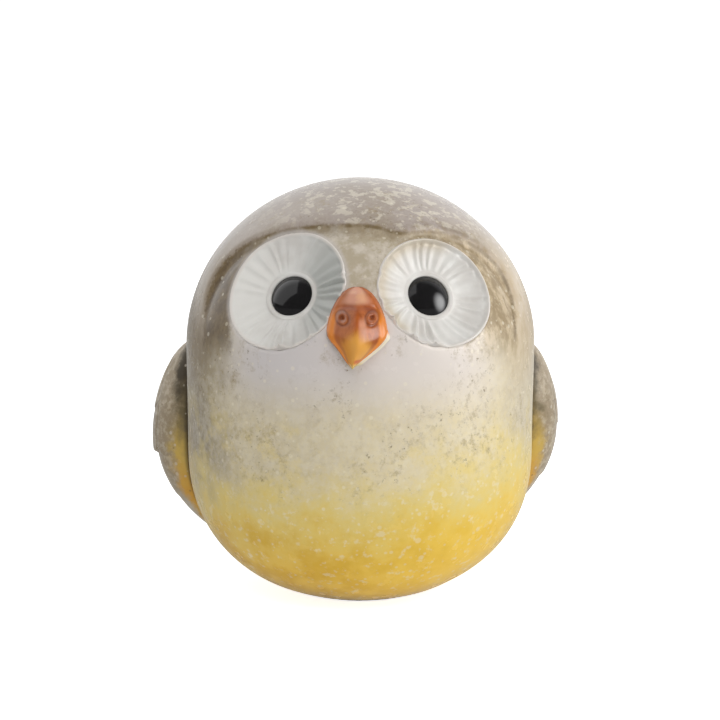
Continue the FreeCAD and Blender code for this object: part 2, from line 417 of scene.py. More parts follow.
def disc_mesh(hand, look):
    """Bowl of feathers: a smooth collar, radial barbs, and a rim that ends in lobes near the beak."""
    side = SIDES[hand]
    phi = full_turn(DISC_COLUMNS)
    half_across, half_up, sag = DISC_OUTLINE[side]
    unruly = np.sin(3 * phi + 1 + side) + 0.6 * np.sin(7 * phi + 2 * side)
    beak_side = -math.pi / 2 - side * 0.9
    tips = smooth((np.cos(phi - beak_side) - 0.25) / 0.5)
    lobes = np.abs(np.sin((phi + 0.05 * unruly) * FEATHERS / 4))
    rim_share = 1 - RIM_LOBE * tips * (1 - lobes ** 0.5) * (1 + 0.4 * unruly)
    disc, eye = disc_axes(side), eye_axes(side)
    inner_r = EYE_R + COLLAR
    inner = circle(eye, inner_r, COLLAR_HEIGHT, phi)

    def ring(share, height, spare=0.0, rim=rim_share):
        """One ring: share 0 is the circle round the eye, 1 the disc's outline."""
        across_by = (inner_r + (half_across * rim + spare - inner_r) * share) * np.cos(phi)
        up_by = (inner_r + (half_up * rim + spare - inner_r) * share) * np.sin(phi) + sag * share
        keep = smooth(np.array(share / 0.7))
        return inner * (1 - keep) + place_in(disc, across_by, up_by, height + 0 * phi) * keep

    rings = collar_rings(eye, phi)
    rim_across = half_across * rim_share * np.cos(phi)
    rim_up = half_up * rim_share * np.sin(phi) + sag
    rim_skin = skin_over_disc(side, rim_across, rim_up)
    lip = DISC_LIP[side]
    # darker tan inside the left disc's rim, up and towards the beak
    tan_side = smooth((np.cos(phi - 2.5) + 0.1) / 0.5) * (side == LEFT)
    # painted shade and painted light on the right disc: greyer towards the beak, lighter away from it
    shaded_side = np.cos(phi - 0.2) * (side == RIGHT)
    no_mask = 0 * phi
    tan_band, shade, rim_edge = ([no_mask] * len(rings) for _ in range(3))
    for share in np.linspace(0, 0.965, FEATHER_RINGS):
        bowl = EYE_BASE + (rim_skin + lip - EYE_BASE) * share ** 1.4
        edge, barb = feather_relief(share, phi, unruly, tips, side)
        rings.append(ring(share, bowl + edge + barb))
        tan_band.append(bump(share - 0.84, 0.22) * tan_side)
        shade.append(smooth(share / 0.3) * shaded_side)
        rim_edge.append(no_mask + smooth((share - 0.90) / 0.06))
    rings += [
        ring(1.0, rim_skin + lip + 0.05 * MM, -0.15 * MM),
        ring(1.0, rim_skin - 0.1 * MM, 0.15 * MM),
        ring(1.0, rim_skin - 0.3 * MM, 0.1 * MM),
        ring(1.0, rim_skin - 0.5 * MM, 0.1 * MM, rim=1.0),
        ring(1.0, rim_skin - 2.2 * MM, -1.0 * MM, rim=1.0),
        circle(disc, 11.0 * MM, -7.6 * MM, phi),
        circle(disc, 3.0 * MM, -7.8 * MM, phi),
    ]
    back = len(rings) - len(tan_band)
    masks = {
        "tan_band": np.array(tan_band + [no_mask] * back),
        "shade": np.array(shade + [no_mask] * back),
        "rim": np.array(rim_edge + [no_mask + 1] * back),
    }
    loft("feather_disc_" + hand, np.array(rings), masks, look, "eye_disc_" + hand)


def eye_mesh(hand, look):
    """Low glossy dome on a short peg."""
    phi = full_turn(128)
    axes = eye_axes(SIDES[hand])
    ball_r = (EYE_R ** 2 + EYE_DOME ** 2) / (2 * EYE_DOME)
    edge = math.asin(EYE_R / ball_r)
    rings = []
    for angle in np.linspace(0, edge, 34)[1:]:
        rings.append(circle(axes, ball_r * math.sin(angle), EYE_DOME - ball_r * (1 - math.cos(angle)), phi))
    rings.append(circle(axes, EYE_R, -0.3 * MM, phi))
    rings.append(circle(axes, EYE_R - 0.1 * MM, -EYE_PEG, phi))
    loft("domed_eye_" + hand, np.array(rings), {}, look, "eye_" + hand)


# ---- beak

def beak_half_width(share):
    """Rounded from the top down to the widest place, then straight to the tip."""
    above = max(0.0, 1 - share / BEAK_WIDEST_SHARE)
    rounded = (1 - above ** 1.6) ** 0.48
    straight = (1.02 - share) / 0.40
    softness = 0.06
    return BEAK_HALF_WIDTH * min(rounded, 1 - softness * math.log1p(math.exp((1 - straight) / softness)))


def beak_height(s, out_c, c, skirt):
    """Height of the front over the skin: a ridged nose on a flange, and the cere above its groove."""
    reach = BEAK_REACH * (0.30 + 0.70 * smooth(s / 0.5)) * smooth(s / 0.10 + 0.1)
    reach *= 1 - 0.62 * smooth((s - 0.62) / 0.42)
    groove_at = CERE_SHARE + 0.10 * np.abs(out_c) ** 3
    cere = CERE_SWELL * smooth((groove_at - s) / 0.06) - CERE_GROOVE * bump(s - groove_at, 0.03)
    nose = 1 - np.minimum(np.hypot(c, 0.08) / 0.80, 1) ** 1.25
    flange = (1 - np.abs(c) ** 6) ** 0.5
    return reach * (0.62 * nose + 0.38 * flange) + cere * flange + 0.35 * MM * (1 - np.abs(skirt))


def press_nostrils(height, s, x):
    """Height with a dimple and a raised ring for each nostril, and a mask of those places."""
    mask = 0
    for side in (RIGHT, LEFT):
        away = np.hypot(x - BEAK_X - side * NOSTRIL_X, (s - NOSTRIL_SHARE) * (BEAK_TOP_Z - BEAK_TIP_Z))
        height = height - 0.9 * MM * bump(away, 0.55 * MM) + 0.35 * MM * bump(away - 1.1 * MM, 0.4 * MM)
        height = height - 0.25 * MM * bump(away - 1.8 * MM, 0.3 * MM)
        mask = mask + bump(away - 1.75 * MM, 0.32 * MM) + bump(away, 0.6 * MM)
    return height, mask


def beak_mesh(look):
    """Kite-shaped beak with a thin skirt on the skin, denser in points at the top and at the cere."""
    along = spread(0, 1, 150, lambda s: 1 + 2 * bump(s - CERE_SHARE, 0.15) + 3 * bump(s, 0.06))[1:]
    out_c = np.linspace(-1, 1, 110)
    back_c = np.linspace(1, -1, 24)[1:-1]
    c = np.clip(out_c / 0.9, -1, 1)
    skirt = smooth((np.abs(out_c) - 0.9) / 0.09) * np.sign(out_c)
    rings, edges, downs, nostrils = [], [], [], []
    for s in along:
        z = BEAK_TOP_Z + (BEAK_TIP_Z - BEAK_TOP_Z) * s
        middle_x = BEAK_X + BEAK_TIP_SHIFT * smooth((s - 0.7) / 0.3)
        skirt_width = (0.1 + 1.2 * smooth((s - 0.52) / 0.14) * (out_c > 0)) * MM
        x_out = middle_x + beak_half_width(s) * c + skirt * skirt_width * smooth((1 - s) / 0.05)
        height, nostril = press_nostrils(beak_height(s, out_c, c, skirt), s, x_out)
        height = np.where(np.abs(out_c) > 0.999, -1.0 * MM, height)
        x = np.concatenate([x_out, np.linspace(x_out[-1], x_out[0], len(back_c) + 2)[1:-1]])
        over = np.concatenate([height, np.full(len(back_c), -1.5 * MM)])
        skin_y = -np.sqrt(np.maximum(skin_radius(np.array(z)) ** 2 - x ** 2, 0))
        y = skin_y - over + HOOD_DROP * smooth((z - BEAK_FACE_Z) / BEAK_FACE_FADE)
        rings.append(np.stack([x, y, np.full(len(x), z)], axis=-1))
        edges.append(np.concatenate([out_c, np.sign(back_c)]))
        downs.append(np.full(len(x), s))
        nostrils.append(np.concatenate([nostril, 0 * back_c]))
    masks = {"across": np.array(edges), "down": np.array(downs), "nostril": np.array(nostrils)}
    loft("ridged_beak", np.array(rings), masks, look, "beak")


# ---- wings and tail

def lobe_mesh(name, azimuths, top_z, tip_z, half_width, reach, tiers, look, node):
    """Plump leaf on the skin, with rows of feathers that end in scalloped tips."""
    along = np.linspace(0.004, 0.996, 190)
    out_c = np.linspace(-1, 1, 130)
    back_c = np.linspace(1, -1, 26)[1:-1]
    rings, lift, down, creases = [], [], [], []
    start, end = np.radians(azimuths)
    bulge = (1 - np.abs(out_c) ** 2.4) ** 0.62
    towards_face = -np.sign(out_c) if start > 0 else np.sign(out_c)
    front_lift = np.where(towards_face > 0, bulge, 1.0)
    outer = smooth((front_lift - 0.66) / 0.32)
    for s in along:
        z = top_z + (tip_z - top_z) * s
        fullness = math.sin(math.pi * s) ** 0.65
        half_angle = half_width * fullness ** 0.5 / BODY_R
        height = reach * fullness * bulge
        crease = 0 * out_c
        for edge, count, step in tiers:
            across = (out_c * count / 2 + 0.5 * count) % 1 * 2 - 1
            tip = edge - SCALLOP * (1 - np.sqrt(1 - np.minimum(np.abs(across), 1) ** 2))
            drop = step * (0.5 - smooth((s - tip) / 0.012)) * smooth(fullness * 2)
            height = height + drop * bulge * (0.25 + 0.75 * outer)
            feather = smooth((s - tip + 0.26) / 0.1) * (s < tip)
            between = smooth((np.abs(across) - 0.78) / 0.22) * feather
            height = height + (QUILL * bump(across, 0.12) * feather - CREASE_DEPTH * between) * bulge * outer
            # crease mask: between feathers it stands for pooled glaze, under each row's tips it is painted
            # shade
            under_tip = bump(s - tip - 0.006, 0.009) * (step > 0)
            crease = np.maximum(crease, np.maximum(0.7 * between, under_tip) * outer)
        height = np.where(np.abs(out_c) > 0.999, -1.2 * MM, height)
        angle = start + (end - start) * s + half_angle * np.concatenate([out_c, back_c])
        over = np.concatenate([height, np.full(len(back_c), -1.6 * MM)])
        radius = skin_radius(np.array(z)) + over
        rings.append(round_the_body(radius, angle, np.array(z)))
        lift.append(np.concatenate([front_lift, np.zeros(len(back_c))]))
        down.append(np.full(len(angle), s))
        creases.append(np.concatenate([crease, 0 * back_c]))
    masks = {"lift": np.array(lift), "down": np.array(down), "crease": np.array(creases)}
    loft(name, np.array(rings), masks, look, node)


# ---- felt pad

def felt_mesh(look):
    """Round pad with a slightly frayed edge."""
    low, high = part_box("felt_base")
    phi = full_turn(180)
    fuzz = 0.12 * MM * np.sin(17 * phi) * np.sin(29 * phi + 1)
    outline = [(0.5, 1.0), (0.97, 1.0), (1.0, 0.75), (1.0, 0.25), (0.97, 0.0), (0.5, 0.0)]
    rings = []
    for share, level in outline:
        radius = high.x * share - 0.15 * MM + fuzz * (share > 0.9)
        height = low.z + (high.z - low.z) * level
        rings.append(np.stack([radius * np.cos(phi), radius * np.sin(phi), height + 0 * phi], axis=-1))
    loft("felt_base_pad", np.array(rings), {}, look, "felt_base")


# ---- material nodes

def srgb(red, green, blue):
    """Linear colour from 8-bit screen values."""
    linear = []
    for value in (red, green, blue):
        v = value / 255
        linear.append(v / 12.92 if v <= 0.04045 else ((v + 0.055) / 1.055) ** 2.4)
    return (*linear, 1.0)


class Nodes:
    """A node tree. Its methods add nodes and return their output sockets."""

    def __init__(self, tree):
        self.tree = tree

    def feed(self, socket, value):
        """Links another socket to this one, or sets its value."""
        if isinstance(value, bpy.types.NodeSocket):
            self.tree.links.new(value, socket)
        else:
            socket.default_value = value

    def node(self, kind, inputs, **settings):
        """New shader node, with its inputs fed by name or by number."""
        node = self.tree.nodes.new("ShaderNode" + kind)
        for key, value in settings.items():
            setattr(node, key, value)
        for key, value in inputs.items():
            self.feed(node.inputs[key], value)
        return node

    def source(self, kind, output, **settings):
        return self.node(kind, {}, **settings).outputs[output]

    def axis(self, letter, place):
        return self.node("SeparateXYZ", {0: place}).outputs[letter]

    def distance(self, place, centre):
        return self.node("VectorMath", {0: place, 1: centre}, operation="DISTANCE").outputs["Value"]

    def maths(self, operation, a, b=0.0):
        return self.node("Math", {0: a, 1: b}, operation=operation).outputs[0]

    def both(self, a, b):
        return self.maths("MULTIPLY", a, b)

    def plus(self, a, b):
        return self.maths("ADD", a, b)

    def minus(self, a, b):
        return self.maths("SUBTRACT", a, b)

    def ramp(self, value, low, high, to_low, to_high, **settings):
        """Maps the range from low to high onto another range."""
        inputs = {"Value": value, "From Min": low, "From Max": high, "To Min": to_low, "To Max": to_high}
        return self.node("MapRange", inputs, **settings).outputs[0]

    def step(self, value, low, high):
        """0 below low, 1 above high, with a soft step between; low may be the greater one."""
        ends = (0.0, 1.0) if low < high else (1.0, 0.0)
        return self.ramp(value, min(low, high), max(low, high), *ends, interpolation_type="SMOOTHSTEP")

    def window(self, value, rise, fall):
        """1 between two soft steps."""
        return self.both(self.step(value, *rise), self.step(value, *fall))


class Look(Nodes):
    """A node material round one Principled shader."""

    def __init__(self, name):
        self.material = bpy.data.materials.new(name)
        self.material.use_nodes = True
        super().__init__(self.material.node_tree)
        self.shader = self.tree.nodes["Principled BSDF"]
        self.place = self.source("TexCoord", "Object")

    def attribute(self, name):
        return self.source("Attribute", "Fac", attribute_name=name)

    def stretched(self, x, y, z):
        return self.node("Mapping", {"Vector": self.place, "Scale": (x, y, z)}).outputs[0]

    def where(self, **ranges):
        """1 where two of the look's fields are both past their ranges, each from none to full."""
        first, second = (self.step(getattr(self, field), *ends) for field, ends in ranges.items())
        return self.both(first, second)

    def noise(self, size, detail=3.0, rough=0.55, place=None):
        """Noise with features of about the given size, around 0.5."""
        inputs = {"Vector": place or self.place, "Scale": 1 / size, "Detail": detail, "Roughness": rough}
        return self.node("TexNoise", inputs).outputs["Fac"]

    def drift(self, size, detail, rough):
        """Noise around 0, for making an edge wander."""
        return self.minus(self.noise(size, detail, rough), 0.5)

    def patches(self, size, low, high, detail=3.0, rough=0.55, place=None):
        """Ragged patches: 0 where the noise is below low, 1 where it is above high."""
        return self.step(self.noise(size, detail, rough, place), low, high)

    def spots(self, size, radius, rarity):
        """Round spots of differing sizes; a higher rarity leaves fewer cells with a spot."""
        cells = self.node("TexVoronoi", {"Vector": self.place, "Scale": 1 / size})
        chance = self.node("SeparateColor", {0: cells.outputs["Color"]})
        reach = self.both(chance.outputs[1], radius / size)
        soft = self.step(self.minus(reach, cells.outputs["Distance"]), 0.0, 0.35 * radius / size)
        return self.both(soft, self.maths("GREATER_THAN", chance.outputs[0], rarity))

    def near(self, centre, reach):
        """1 at a place given in millimetres, fading to 0 at its reach."""
        away = self.distance(self.place, [value * MM for value in centre])
        return self.step(away, reach * MM, 0.3 * reach * MM)

    def mix(self, share, a, b):
        return self.node("Mix", {0: share, 6: a, 7: b}, data_type="RGBA").outputs[2]

    def lay(self, under, colour, mask, strength):
        """A colour laid thinly over another where the mask is 1."""
        return self.mix(self.both(mask, strength), under, colour)

    def bumps(self, height, distance):
        inputs = {"Distance": distance, "Strength": 1.0, "Height": height}
        self.feed(self.shader.inputs["Normal"], self.node("Bump", inputs).outputs[0])

    def sheen(self, weight):
        self.shader.inputs["Sheen Weight"].default_value = weight
        self.shader.inputs["Sheen Roughness"].default_value = 0.3

    def finish(self, colour, roughness):
        self.feed(self.shader.inputs["Base Color"], colour)
        self.feed(self.shader.inputs["Roughness"], roughness)
        return self.material


# ---- body glaze

TAUPE = srgb(162, 149, 134)
TAUPE_PINK = srgb(168, 156, 148)
TAUPE_LIGHT = srgb(212, 203, 186)
OLIVE_DARK = srgb(82, 64, 38)
OLIVE = srgb(110, 91, 60)
OLIVE_WASH = srgb(150, 130, 97)
FACE_TAN = srgb(180, 167, 144)
FACE_CREAM = srgb(204, 194, 178)
OFF_WHITE = srgb(224, 215, 207)
LAVENDER = srgb(206, 200, 198)
BEIGE = srgb(208, 195, 162)
BEIGE_LIGHT = srgb(224, 211, 178)
# browner flank colour on the owl's right: partly glaze, partly painted shade
SIDE_TAUPE_AND_SHADE = srgb(148, 136, 112)
SIDE_BEIGE = srgb(202, 190, 162)
CHEEK_BROWN = srgb(138, 122, 99)
CHEEK_TAN = srgb(208, 190, 160)
CHEEK_BUFF = srgb(194, 175, 144)
TAN = srgb(150, 130, 90)
BROWN_SPECK = srgb(104, 86, 58)
PALE_YELLOW = srgb(228, 206, 124)
YELLOW = srgb(232, 194, 84)
YELLOW_DEEP = srgb(218, 176, 60)
LEMON = srgb(250, 212, 84)
CREAM = srgb(236, 228, 206)

# Heights between which a glaze sets in, from none to full.
PALE_YELLOW_Z = (50 * MM, 24 * MM)
DEEP_YELLOW_Z = (36 * MM, 12 * MM)
BREAST_PATCH_Z = (66 * MM, 50 * MM)
OFF_WHITE_Z = (54 * MM, 74 * MM)
FACE_Z = (84 * MM, 95 * MM)
HOOD_Z = (70 * MM, 88 * MM)
BROW_LINE_Z = (70 * MM, 82 * MM)
CHEEK_LOW_Z = (56 * MM, 78 * MM)
CHEEK_HIGH_Z = (112 * MM, 92 * MM)
SPLASH_Z = (60 * MM, 30 * MM)
SPECK_Z = (26 * MM, 44 * MM)

# Places of single features, in millimetres.
BELLY_DIP_AT = (-45, -20, 40)
CROWN_AT = (8, -8, 116)
DARK_BROW_AT = (24, -30, 107)
SPECK_CLUSTERS = (((30, -44, 56), 20), ((-38, -38, 72), 18), ((-30, -44, 50), 18), ((3, -50, 99), 10))


class BodyLook(Look):
    """The body's material with the fields that several glazes share."""

    def __init__(self, name):
        super().__init__(name)
        self.height = self.axis("Z", self.place)
        self.x = self.axis("X", self.place)
        self.aside = self.maths("ABSOLUTE", self.x)
        self.around = self.plus(self.axis("Y", self.place), self.both(self.aside, 0.35))
        self.brow = self.attribute("brow")
        self.cloud = self.drift(14 * MM, 4, 0.6)
        self.fine = self.drift(1.6 * MM, 4, 0.7)
        self.grain = self.patches(1.1 * MM, 0.40, 0.66, 4, 0.75)
        self.streaks = self.patches(2.4 * MM, 0.40, 0.64, 5, 0.65, self.stretched(1.0, 1.0, 0.5))
        self.leftward = self.step(self.plus(self.x, self.both(self.cloud, 30 * MM)), -24 * MM, 28 * MM)


def breast_glaze(look):
    """Beige, browner towards the sides (on the owl's right partly painted shade), with tan, cream and yellow
    patches.
    """
    side_on = look.step(look.plus(look.around, look.both(look.cloud, 24 * MM)), -30 * MM, -4 * MM)
    colour = look.mix(look.leftward, BEIGE, BEIGE_LIGHT)
    # the owl's right flank gets the browner colour, which is partly painted shade
    colour = look.mix(side_on, colour, look.mix(look.leftward, SIDE_TAUPE_AND_SHADE, SIDE_BEIGE))
    colour = look.lay(colour, TAN, look.patches(5 * MM, 0.50, 0.66, 6, 0.7), 0.24)
    colour = look.lay(colour, CREAM, look.patches(3.2 * MM, 0.42, 0.62, 4, 0.65), 0.25)
    colour = look.lay(colour, LAVENDER, look.grain, 0.22)
    yellow = look.both(look.patches(9 * MM, 0.48, 0.64, 4, 0.6), look.step(look.height, *BREAST_PATCH_Z))
    return look.lay(colour, PALE_YELLOW, yellow, 0.38)


def add_belly(look, colour):
    """Yellow belly under a ragged edge, which climbs towards the owl's left and dips at its right side."""
    outward = look.maths("POWER", look.both(look.aside, 1 / BODY_R), 2.0)
    edge = look.minus(look.height, look.both(look.both(outward, look.leftward), 7 * MM))
    edge = look.minus(edge, look.both(look.leftward, 5 * MM))
    edge = look.plus(edge, look.both(look.cloud, 34 * MM))
    edge = look.plus(edge, look.both(look.near(BELLY_DIP_AT, 22), 4 * MM))
    edge = look.plus(edge, look.both(look.fine, 10 * MM))
    belly = look.mix(look.patches(7 * MM, 0.36, 0.66, 4), YELLOW_DEEP, YELLOW)
    belly = look.lay(belly, LEMON, look.leftward, 0.5)
    colour = look.mix(look.step(edge, *PALE_YELLOW_Z), colour, PALE_YELLOW)
    return look.mix(look.step(edge, *DEEP_YELLOW_Z), colour, belly)


def add_face(look, colour):
    """Off-white round the beak, tan and cream from there up."""
    pale = look.where(height=OFF_WHITE_Z, around=(-12 * MM, -34 * MM))
    colour = look.mix(pale, colour, look.mix(look.leftward, LAVENDER, OFF_WHITE))
    face = look.mix(look.patches(5 * MM, 0.40, 0.62, 5, 0.65), FACE_TAN, FACE_CREAM)
    return look.mix(look.step(look.height, *FACE_Z), colour, face)


def add_hood(look, colour):
    """Taupe with a pale grain, and with pale flakes on the crown."""
    hood = look.where(brow=(0.05, -0.05), height=HOOD_Z)
    taupe = look.mix(look.patches(20 * MM, 0.35, 0.65), TAUPE, TAUPE_PINK)
    flakes = look.patches(3.0 * MM, 0.52, 0.60, 3, 0.62, look.stretched(1.0, 1.0, 1.35))
    crown = look.both(look.near(CROWN_AT, 48), 0.75)
    taupe = look.mix(look.both(flakes, crown), taupe, TAUPE_LIGHT)
    taupe = look.lay(taupe, TAUPE_LIGHT, look.grain, 0.15)
    return look.mix(hood, colour, taupe)


def add_cheeks(look, colour):
    """Streaky brown at the sides of the face, lighter on the owl's left."""
    cheek = look.window(look.height, CHEEK_LOW_Z, CHEEK_HIGH_Z)
    wandering = look.plus(look.around, look.both(look.cloud, 20 * MM))
    cheek = look.both(cheek, look.step(wandering, -24 * MM, -8 * MM))
    brown = look.mix(look.leftward, CHEEK_BROWN, look.mix(look.streaks, CHEEK_BUFF, CHEEK_TAN))
    return look.mix(look.both(cheek, look.plus(look.both(look.streaks, -0.25), 0.9)), colour, brown)


def add_brow_line(look, colour):
    """Olive along the hood's edge: a wash at the sides, a thin line, and a band over the left disc."""
    side = look.step(look.maths("ABSOLUTE", look.plus(look.x, 5 * MM)), 20 * MM, 36 * MM)
    ragged = look.plus(look.brow, look.both(look.fine, 0.45))
    inner = look.minus(ragged, look.both(side, 0.70))
    wash = look.both(look.step(inner, 0.45, 0.12), look.step(ragged, -0.10, 0.04))
    wash = look.both(wash, look.plus(look.both(side, 0.50), 0.46))
    thin = look.window(look.brow, (0.10, 0.03), (-0.07, 0.0))
    thin = look.both(thin, look.patches(4 * MM, 0.30, 0.62))
    tall = look.step(look.height, *BROW_LINE_Z)
    olive_right = look.mix(look.streaks, OLIVE_DARK, OLIVE)
    olive_left = look.mix(look.streaks, OLIVE_WASH, CHEEK_BUFF)
    colour = look.mix(look.both(wash, tall), colour, look.mix(look.leftward, olive_right, olive_left))
    colour = look.lay(colour, OLIVE, look.both(thin, tall), 0.8)
    band = look.window(look.brow, (0.34, 0.10), (-0.40, -0.05))
    patchy = look.both(look.near(DARK_BROW_AT, 22), look.patches(3 * MM, 0.32, 0.60, 4, 0.65))
    return look.lay(colour, OLIVE, look.both(band, patchy), 0.5)


def add_speckles(look, colour):
    """Cream splashes and spots, mostly low down, and clusters of brown specks and tan smudges."""
    low = look.step(look.height, *SPLASH_Z)
    colour = look.lay(colour, CREAM, look.both(look.patches(2.6 * MM, 0.56, 0.68, 4, 0.6), low), 0.40)
    colour = look.lay(colour, CREAM, look.both(look.spots(3.4 * MM, 1.2 * MM, 0.55), low), 0.35)
    colour = look.lay(colour, CREAM, look.spots(1.8 * MM, 0.7 * MM, 0.50), 0.35)
    clusters = look.patches(16 * MM, 0.48, 0.60)
    for centre, reach in SPECK_CLUSTERS:
        clusters = look.maths("MAXIMUM", clusters, look.near(centre, reach))
    clusters = look.both(clusters, look.step(look.height, *SPECK_Z))
    specks = look.both(look.patches(1.3 * MM, 0.60, 0.70, 4, 0.7), clusters)
    colour = look.lay(colour, BROWN_SPECK, specks, 0.65)
    smudges = look.both(look.patches(3.0 * MM, 0.50, 0.68, 6, 0.75), clusters)
    return look.lay(colour, TAN, smudges, 0.50)


def body_glaze():
    """Sponged and speckled glazes: taupe hood, off-white face, beige breast, yellow belly."""
    look = BodyLook("speckled_glaze")
    colour = breast_glaze(look)
    for add in (add_belly, add_face, add_hood, add_cheeks, add_brow_line, add_speckles):
        colour = add(look, colour)
    colour = look.lay(colour, LAVENDER, look.attribute("halo"), 0.6)
    look.bumps(look.noise(2.2 * MM, 3), 0.04 * MM)
    look.shader.inputs["Specular IOR Level"].default_value = 0.28
    look.sheen(0.3)
    return look.finish(colour, look.plus(look.both(look.noise(5 * MM, 3), 0.12), 0.20))


# ---- wing glaze

WING_TAUPE = srgb(154, 138, 113)
WING_BEIGE = srgb(182, 168, 144)
WING_TIP_GREY = srgb(196, 190, 178)
POCKET_DARK = srgb(64, 54, 36)
POCKET_OLIVE = srgb(118, 105, 76)
STRIP_YELLOW = srgb(202, 170, 82)
STRIP_GOLD = srgb(204, 154, 56)
STRIP_TIP = srgb(186, 160, 84)
# painted shadow where the wing meets the body
PAINTED_SEAM_SHADOW = srgb(66, 56, 38)
# darker brown in the creases: pooled glaze between feathers, painted shade under each row's tips
CREASE_POOL_AND_SHADE = srgb(84, 70, 48)


def wing_glaze():
    """Grey-brown outer feathers; next to the body a dark pocket at the shoulder, then a yellow strip, and
    painted shadow along the seam with the body.
    """
    look = Look("wing_glaze")
    lift = look.attribute("lift")
    down = look.attribute("down")
    drift = look.drift(4 * MM, 4, 0.6)
    outward = look.plus(lift, look.both(drift, 0.8))
    along = look.plus(down, look.both(drift, 0.3))
    outer = look.mix(look.patches(2.2 * MM, 0.44, 0.62, 5, 0.7), WING_TAUPE, WING_BEIGE)
    outer = look.lay(outer, WING_TIP_GREY, look.step(along, 0.66, 0.92), 0.65)
    strip = look.mix(look.step(along, 0.14, 0.34), POCKET_DARK, POCKET_OLIVE)
    strip = look.mix(look.step(along, 0.32, 0.54), strip, STRIP_YELLOW)
    strip = look.mix(look.step(along, 0.52, 0.76), strip, STRIP_GOLD)
    strip = look.lay(strip, STRIP_TIP, look.step(along, 0.76, 0.92), 0.6)
    strip_width = look.plus(look.both(look.step(down, 0.18, 0.60), 0.12), 0.30)
    strip_width = look.plus(strip_width, look.both(look.step(down, 0.30, 0.16), 0.16))
    colour = look.mix(look.step(look.minus(outward, strip_width), -0.20, 0.20), strip, outer)
    # painted shadow in the seam where the wing meets the body
    colour = look.mix(look.step(lift, 0.14, 0.04), colour, PAINTED_SEAM_SHADOW)
    # darker brown: pooled glaze between the feathers, and painted shade under each row's tips
    colour = look.lay(colour, CREASE_POOL_AND_SHADE, look.attribute("crease"), 0.45)
    colour = look.lay(colour, TAUPE_LIGHT, look.spots(2.4 * MM, 0.8 * MM, 0.40), 0.5)
    colour = look.lay(colour, BROWN_SPECK, look.spots(2.0 * MM, 0.5 * MM, 0.65), 0.5)
    look.bumps(look.noise(2.2 * MM, 3), 0.04 * MM)
    look.sheen(0.6)
    roughness = look.plus(look.both(look.noise(5 * MM, 3), 0.1), 0.20)
    return look.finish(colour, look.plus(roughness, look.both(look.step(down, 0.34, 0.16), 0.3)))


# ---- disc, eye and felt materials

BISQUE = srgb(208, 204, 198)
BISQUE_PALE = srgb(222, 220, 215)
# the next two colours are painted shade and painted light on the right disc
BISQUE_SHADE = srgb(174, 176, 171)
BISQUE_PAINTED_LIGHT = srgb(232, 230, 224)
BISQUE_RIM = srgb(222, 214, 206)
BISQUE_TAN = srgb(192, 178, 154)
BLACK = (0.004, 0.004, 0.004, 1)
BLACK_CLOUD = (0.012, 0.011, 0.012, 1)
FELT_DARK = srgb(58, 50, 42)
FELT_LIGHT = srgb(104, 94, 80)


def white_bisque():
    """Satin white. On the right disc shade and light are painted: greyer towards the beak, lighter away from
    it. The left disc is darker tan up and towards the beak.
    """
    look = Look("white_bisque")
    grain = look.noise(0.5 * MM, 3)
    shade = look.attribute("shade")
    colour = look.mix(look.patches(7 * MM, 0.35, 0.7), BISQUE, BISQUE_PALE)
    # painted shade towards the beak and painted light away from it, on the right disc
    colour = look.lay(colour, BISQUE_SHADE, look.step(shade, 0.0, 1.0), 0.85)
    colour = look.lay(colour, BISQUE_PAINTED_LIGHT, look.step(shade, 0.0, -1.0), 0.8)
    colour = look.lay(colour, BISQUE_RIM, look.attribute("rim"), 0.6)
    # darker tan inside the left disc's rim, up and towards the beak
    colour = look.lay(colour, BISQUE_TAN, look.attribute("tan_band"), 0.8)
    look.bumps(grain, 0.02 * MM)
    return look.finish(colour, look.plus(look.both(grain, 0.2), 0.42))


def black_glaze():
    """Black high gloss."""
    look = Look("black_glaze")
    cloud = look.noise(3 * MM, 2)
    look.bumps(cloud, 0.01 * MM)
    return look.finish(look.mix(cloud, BLACK, BLACK_CLOUD), look.plus(look.both(cloud, 0.05), 0.07))


def felt():
    """Short brown fibres."""
    look = Look("felt")
    fibre = look.noise(0.5 * MM, 5, 0.7)
    look.bumps(fibre, 0.2 * MM)
    return look.finish(look.mix(fibre, FELT_DARK, FELT_LIGHT), 0.95)


# ---- beak glaze

AMBER_DARK = srgb(150, 78, 42)
AMBER = srgb(190, 110, 62)
# painted shade on the owl's right half of the beak, turned from the lamps
AMBER_SHADE = srgb(150, 96, 60)
RIDGE_RUST = srgb(176, 84, 22)
OCHRE = srgb(216, 146, 52)
GOLD = srgb(238, 178, 92)
FLANGE_ORANGE = srgb(224, 134, 52)
CREASE_RUST = srgb(160, 82, 34)
GROOVE_RUST = srgb(140, 62, 34)
CERE_SALMON = srgb(224, 170, 134)
CERE_BLUSH = srgb(206, 138, 122)
NOSTRIL_BROWN = srgb(118, 62, 40)
SKIRT_CREAM = srgb(238, 228, 206)
# painted shadow under the beak's edge on the owl's right
SKIRT_SHADE = srgb(124, 92, 58)
TIP_YELLOW = srgb(206, 190, 116)
TIP_RED = srgb(192, 78, 56)
# painted highlight beside the beak's ridge
PAINTED_HIGHLIGHT = srgb(236, 180, 152)


class BeakLook(Look):
    """The beak's material: across runs from edge to edge, -1 to 1, and down from top to tip, 0 to 1."""

    def __init__(self, name):
        super().__init__(name)
        self.down = self.attribute("down")
        self.across = self.attribute("across")
        self.aside = self.maths("ABSOLUTE", self.across)
        self.flow = self.noise(3 * MM, 4, 0.6, self.stretched(1.0, 1.0, 0.4))

    def strip(self, centre, outer, inner):
        """1 within inner of a line down the beak, fading to 0 at outer."""
        return self.step(self.maths("ABSOLUTE", self.minus(self.across, centre)), outer, inner)


